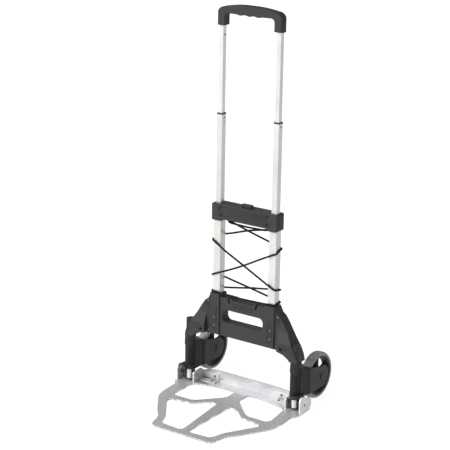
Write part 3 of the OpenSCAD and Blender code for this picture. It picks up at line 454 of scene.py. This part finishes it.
def repeat_on_points(name, item, points, slot):
    """Copies of item on points, made with Geometry Nodes and then turned into a plain mesh."""
    host_mesh = bpy.data.meshes.new(name)
    host_mesh.from_pydata([p[0] for p in points], [], [])
    spin = host_mesh.attributes.new("spin", "FLOAT_VECTOR", "POINT")
    spin.data.foreach_set("vector", [c for p in points for c in p[1]])
    host = bpy.data.objects.new(name, host_mesh)
    bpy.context.scene.collection.objects.link(host)
    tree = bpy.data.node_groups.new(name, "GeometryNodeTree")
    tree.interface.new_socket("Geometry", in_out="INPUT", socket_type="NodeSocketGeometry")
    tree.interface.new_socket("Item", in_out="INPUT", socket_type="NodeSocketObject")
    tree.interface.new_socket("Geometry", in_out="OUTPUT", socket_type="NodeSocketGeometry")
    entry = tree.nodes.new("NodeGroupInput")
    leave = tree.nodes.new("NodeGroupOutput")
    info = tree.nodes.new("GeometryNodeObjectInfo")
    turn = tree.nodes.new("GeometryNodeInputNamedAttribute")
    turn.data_type = "FLOAT_VECTOR"
    turn.inputs["Name"].default_value = "spin"
    copies = tree.nodes.new("GeometryNodeInstanceOnPoints")
    real = tree.nodes.new("GeometryNodeRealizeInstances")
    paint = tree.nodes.new("GeometryNodeSetMaterial")
    paint.inputs["Material"].default_value = FINISHES[slot]
    link = tree.links.new
    link(entry.outputs["Item"], info.inputs["Object"])
    link(entry.outputs["Geometry"], copies.inputs["Points"])
    link(info.outputs["Geometry"], copies.inputs["Instance"])
    link(turn.outputs["Attribute"], copies.inputs["Rotation"])
    link(copies.outputs["Instances"], real.inputs["Geometry"])
    link(real.outputs["Geometry"], paint.inputs["Geometry"])
    link(paint.outputs["Geometry"], leave.inputs["Geometry"])
    modifier = host.modifiers.new("copies", "NODES")
    modifier.node_group = tree
    item_socket = next(i for i in tree.interface.items_tree if i.name == "Item")
    modifier[item_socket.identifier] = item
    bpy.context.view_layer.update()
    evaluated = host.evaluated_get(bpy.context.evaluated_depsgraph_get())
    mesh = bpy.data.meshes.new_from_object(evaluated)
    host.modifiers.clear()
    host.data = mesh
    return host


def template(name, draw):
    """A small mesh in millimetres, scaled to metres, that repeat_on_points copies."""
    bm = bmesh.new()
    draw(bm)
    bm.transform(Matrix.Scale(MM, 4))
    bmesh.ops.recalc_face_normals(bm, faces=bm.faces)
    mesh = bpy.data.meshes.new(name)
    bm.to_mesh(mesh)
    bm.free()
    item = bpy.data.objects.new(name, mesh)
    bpy.context.scene.collection.objects.link(item)
    return item


# Ribs that would go all the way round a carrier's barrel
POST_RIBS = 44
# Radius of the ribbed bands
POST_BAND_RADIUS = 16.0


def ribs_round_post(side):
    """Thin grip ribs round the bands of a carrier's barrel."""
    name = "left" if side < 0 else "right"
    low, high = upright_box("wheel_carrier_" + name)
    joint = JOINTS["carrier_" + name + "_swing"]
    centre = UPRIGHT @ Vector(joint["pos_m"])
    bands = [(high.z - 30, high.z - 2), (low.z + 1, low.z + 10)]
    for number, (z0, z1) in enumerate(bands):
        middle = (z0 + z1) / 2
        item = template("rib", lambda bm: block(bm, (-0.4, -0.5, (z0 - z1) / 2), (0.4, 0.5, (z1 - z0) / 2)))
        points = []
        for i in range(POST_RIBS):
            a = math.tau * i / POST_RIBS
            # the arm leaves the barrel towards +Y, so the ribs stop there
            if math.sin(a) > 0.25:
                continue
            out = POST_BAND_RADIUS * Vector((math.cos(a), math.sin(a), 0))
            place = Vector((centre.x, centre.y, middle)) + out
            points.append((LEANED @ place, (-LEAN, 0, a + math.pi / 2)))
        ribs = repeat_on_points(f"carrier_{name}_ribs_{number}", item, points, "carrier_plastic")
        bpy.data.objects.remove(item)
        finish_piece(ribs, "carrier_" + name, "carrier_plastic")


def cross(bm):
    """Painted shade of a screw's cross recess: a dark cross lying just over its head."""
    block(bm, (-1.9, -0.12, -0.35), (1.9, 0.12, 0.35))
    block(bm, (-0.35, -0.12, -1.9), (0.35, 0.12, 1.9))


def loose_parts(node):
    """Boxes of a node's separate solids in the upright frame, in millimetres."""
    mesh = frame["nodes"][node].data
    group = list(range(len(mesh.vertices)))

    def root(i):
        while group[i] != i:
            group[i] = group[group[i]]
            i = group[i]
        return i

    seen = {}
    for i, v in enumerate(mesh.vertices):
        first = seen.setdefault(tuple(round(c, 6) for c in v.co), i)
        group[root(i)] = root(first)
    for edge in mesh.edges:
        group[root(edge.vertices[0])] = root(edge.vertices[1])
    solids = {}
    for i, v in enumerate(mesh.vertices):
        solids.setdefault(root(i), []).append(UPRIGHT @ v.co)
    return [
        (Vector([min(p[k] for p in points) for k in range(3)]), Vector([max(p[k] for p in points) for k in range(3)]))
        for points in solids.values()
    ]


def screw_recess_painted_shade():
    for node in ("housing_screws", "crossbar_screws"):
        item = template("cross", cross)
        points = []
        for number, (low, high) in enumerate(loose_parts(node)):
            place = Vector(((low.x + high.x) / 2, low.y - 0.1, (low.z + high.z) / 2))
            points.append((LEANED @ place, (-LEAN, 0.7 * number, 0)))
        # Dark crosses of painted shade, where the screws' recesses would be in shade.
        recess_painted_shade = repeat_on_points(node + "_recesses", item, points, "rim_plastic")
        bpy.data.objects.remove(item)
        finish_piece(recess_painted_shade, "frame", "rim_plastic")


# Pitch of the ribs on the housing's upper bar, and their place in front of the frame's plane
BAR_RIB_PITCH = 7.4
BAR_RIB_Y = -15.6


def bar_ribs():
    """Short upright ribs along the housing's upper bar, between its hooks."""
    high = upright_box("housing_front_shell")[1]
    item = template("bar_rib", lambda bm: drum(bm, (0, 0, 0), (0, 0, 1), 1.6, 17, 16))
    points = []
    for i in range(-4, 5):
        place = Vector((BAR_RIB_PITCH * i, BAR_RIB_Y, high.z - 26))
        points.append((LEANED @ place, (-LEAN, 0, 0)))
    ribs = repeat_on_points("bar_ribs", item, points, "black_plastic")
    bpy.data.objects.remove(item)
    finish_piece(ribs, "frame", "black_plastic")


add_camera()
add_studio()
dress_nodes()
make_cord()
screw_recess_painted_shade()
bar_ribs()
for truck_side in (-1, 1):
    ribs_round_post(truck_side)
